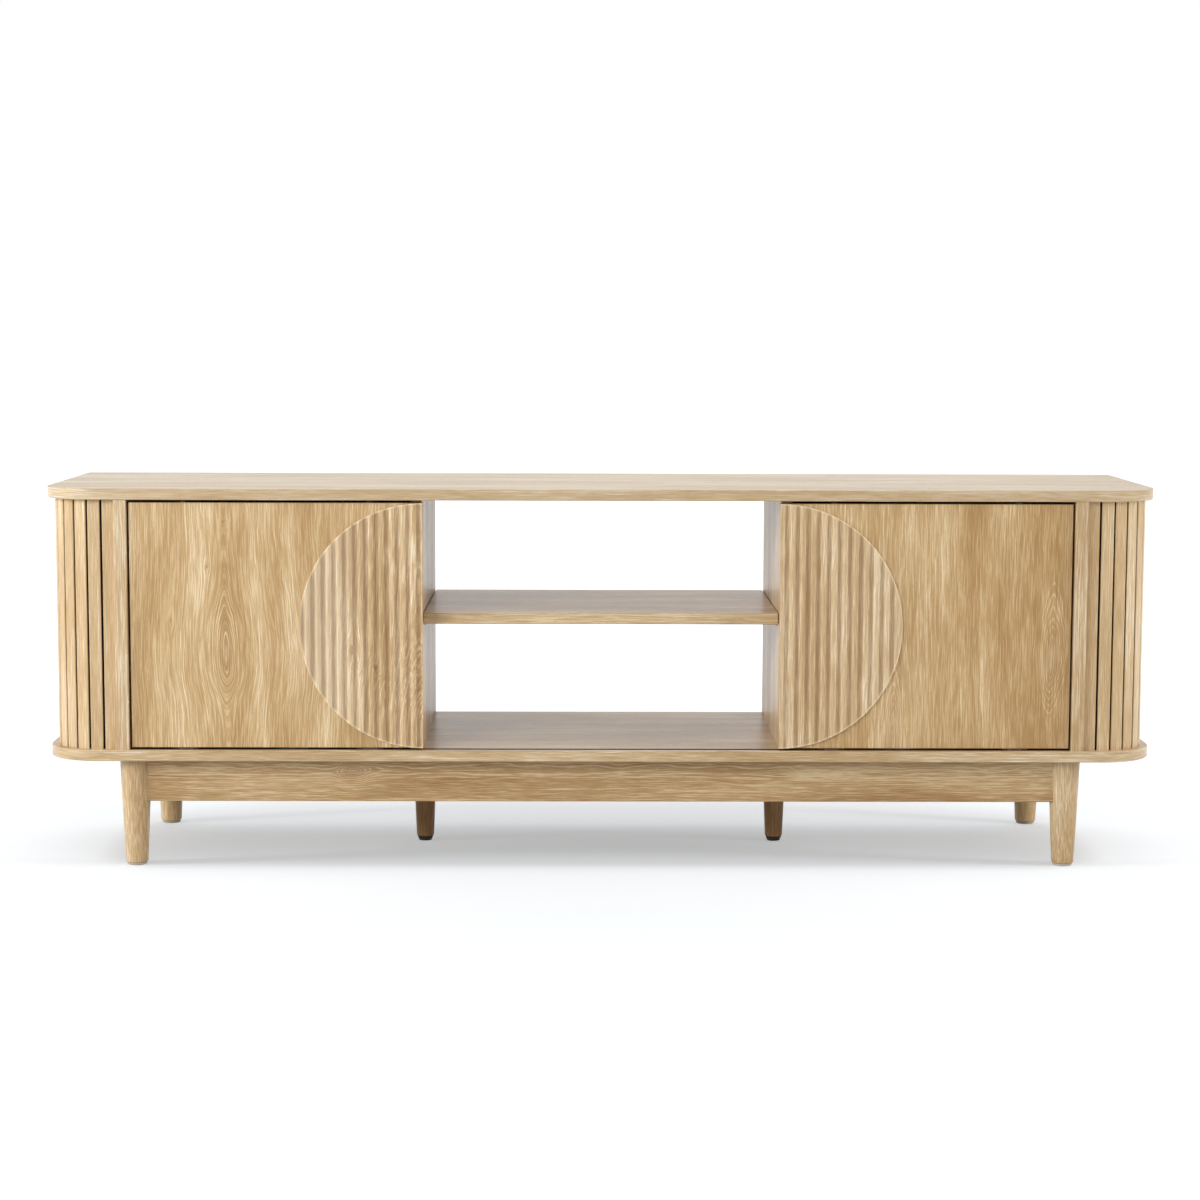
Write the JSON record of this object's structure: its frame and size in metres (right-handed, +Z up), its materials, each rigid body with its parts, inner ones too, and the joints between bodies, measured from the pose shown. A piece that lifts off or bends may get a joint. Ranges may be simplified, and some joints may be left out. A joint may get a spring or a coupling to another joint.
{
  "type": "media cabinet",
  "caption": "Low oak media cabinet with an open centre bay and shelf, sliding doors with fluted half discs, slatted rounded ends and a turned-leg base.",
  "frame": {"origin": "on the floor, under the centre of the top panel", "axes": "+X to the viewer's right along the front, +Y towards the back, +Z up"},
  "size_m": [1.6, 0.4, 0.548],
  "materials": {
    "oak_top": "satin",
    "oak_outer": "satin",
    "oak_inner": "satin",
    "oak_door": "satin",
    "oak_disc": "satin",
    "oak_slat": "satin",
    "oak_leg": "satin",
    "dark_leg": "satin",
    "back_board": "satin",
    "backing_sheet": "matte",
    "frame_wood": "matte",
    "dowel_wood": "matte",
    "track_plastic": "matte",
    "roller_plastic": "satin",
    "fitting_plastic": "satin",
    "glide_plastic": "matte",
    "foot_plastic": "matte",
    "zinc": "satin",
    "pin_metal": "satin"
  },
  "bodies": {
    "cabinet": {"top_panel": "oak_top", "bottom_panel": "oak_outer", "left_side_panel": "oak_outer", "right_side_panel": "oak_outer", "left_partition": "oak_inner", "right_partition": "oak_inner", "left_back_panel": "back_board", "right_back_panel": "back_board", "centre_shelf": "oak_inner", "left_shelf": "oak_inner", "right_shelf": "oak_inner", "shelf_pins": "pin_metal", "left_slats": "oak_slat", "right_slats": "oak_slat", "left_slat_backing": "backing_sheet", "right_slat_backing": "backing_sheet", "left_end_board": "oak_outer", "right_end_board": "oak_outer", "lower_track": "track_plastic", "upper_track": "track_plastic", "panel_dowels": "dowel_wood", "cam_locks": "zinc", "cam_bolts": "zinc", "front_rail": "oak_outer", "rear_rail": "oak_outer", "left_side_rail": "oak_outer", "right_side_rail": "oak_outer", "left_cross_rail": "frame_wood", "right_cross_rail": "frame_wood", "front_left_leg": "oak_leg", "front_right_leg": "oak_leg", "rear_left_leg": "oak_leg", "rear_right_leg": "oak_leg", "left_mid_leg": "dark_leg", "right_mid_leg": "dark_leg", "leg_glides": "glide_plastic", "corner_blocks": "frame_wood", "leg_bolts": "zinc", "frame_screws": "zinc", "foot_inserts": "zinc"},
    "left_door": {"left_door_panel": "oak_door", "left_door_disc": "oak_disc", "left_roller_housings": "fitting_plastic", "left_roller_axles": "zinc", "left_guide_barrels": "fitting_plastic"},
    "left_inner_roller": {"left_inner_roller": "roller_plastic"},
    "left_inner_guide_pin": {"left_inner_guide_pin": "fitting_plastic"},
    "left_outer_roller": {"left_outer_roller": "roller_plastic"},
    "left_outer_guide_pin": {"left_outer_guide_pin": "fitting_plastic"},
    "right_door": {"right_door_panel": "oak_door", "right_door_disc": "oak_disc", "right_roller_housings": "fitting_plastic", "right_roller_axles": "zinc", "right_guide_barrels": "fitting_plastic"},
    "right_inner_roller": {"right_inner_roller": "roller_plastic"},
    "right_inner_guide_pin": {"right_inner_guide_pin": "fitting_plastic"},
    "right_outer_roller": {"right_outer_roller": "roller_plastic"},
    "right_outer_guide_pin": {"right_outer_guide_pin": "fitting_plastic"},
    "left_levelling_foot": {"left_levelling_foot": "foot_plastic"},
    "right_levelling_foot": {"right_levelling_foot": "foot_plastic"}
  },
  "joints": [
    {"name": "left_door_slide", "type": "slide", "parent": "cabinet", "child": "left_door", "axis": [1, 0, 0], "range_m": [0, 0.2535]},
    {"name": "left_inner_roller_spin", "type": "hinge", "parent": "left_door", "child": "left_inner_roller", "pos_m": [-0.33175, -0.185, 0.1798], "axis": [0, 1, 0], "continuous": true},
    {"name": "left_inner_guide_pin_press", "type": "slide", "parent": "left_door", "child": "left_inner_guide_pin", "axis": [0, 0, -1], "range_m": [0, 0.008], "stiffness_N_per_m": 400, "springref_m": -0.004},
    {"name": "left_outer_roller_spin", "type": "hinge", "parent": "left_door", "child": "left_outer_roller", "pos_m": [-0.59575, -0.185, 0.1798], "axis": [0, 1, 0], "continuous": true},
    {"name": "left_outer_guide_pin_press", "type": "slide", "parent": "left_door", "child": "left_outer_guide_pin", "axis": [0, 0, -1], "range_m": [0, 0.008], "stiffness_N_per_m": 400, "springref_m": -0.004},
    {"name": "right_door_slide", "type": "slide", "parent": "cabinet", "child": "right_door", "axis": [-1, 0, 0], "range_m": [0, 0.2535]},
    {"name": "right_inner_roller_spin", "type": "hinge", "parent": "right_door", "child": "right_inner_roller", "pos_m": [0.33175, -0.185, 0.1798], "axis": [0, 1, 0], "continuous": true},
    {"name": "right_inner_guide_pin_press", "type": "slide", "parent": "right_door", "child": "right_inner_guide_pin", "axis": [0, 0, -1], "range_m": [0, 0.008], "stiffness_N_per_m": 400, "springref_m": -0.004},
    {"name": "right_outer_roller_spin", "type": "hinge", "parent": "right_door", "child": "right_outer_roller", "pos_m": [0.59575, -0.185, 0.1798], "axis": [0, 1, 0], "continuous": true},
    {"name": "right_outer_guide_pin_press", "type": "slide", "parent": "right_door", "child": "right_outer_guide_pin", "axis": [0, 0, -1], "range_m": [0, 0.008], "stiffness_N_per_m": 400, "springref_m": -0.004},
    {"name": "left_levelling_foot_adjust", "type": "slide", "parent": "cabinet", "child": "left_levelling_foot", "axis": [0, 0, -1], "range_m": [0, 0.01]},
    {"name": "right_levelling_foot_adjust", "type": "slide", "parent": "cabinet", "child": "right_levelling_foot", "axis": [0, 0, -1], "range_m": [0, 0.01]}
  ],
  "couplings": [
    {"joint": "left_inner_roller_spin", "follows": "left_door_slide", "rad_per_m": 83.333},
    {"joint": "left_outer_roller_spin", "follows": "left_door_slide", "rad_per_m": 83.333},
    {"joint": "right_inner_roller_spin", "follows": "right_door_slide", "rad_per_m": -83.333},
    {"joint": "right_outer_roller_spin", "follows": "right_door_slide", "rad_per_m": -83.333}
  ]
}
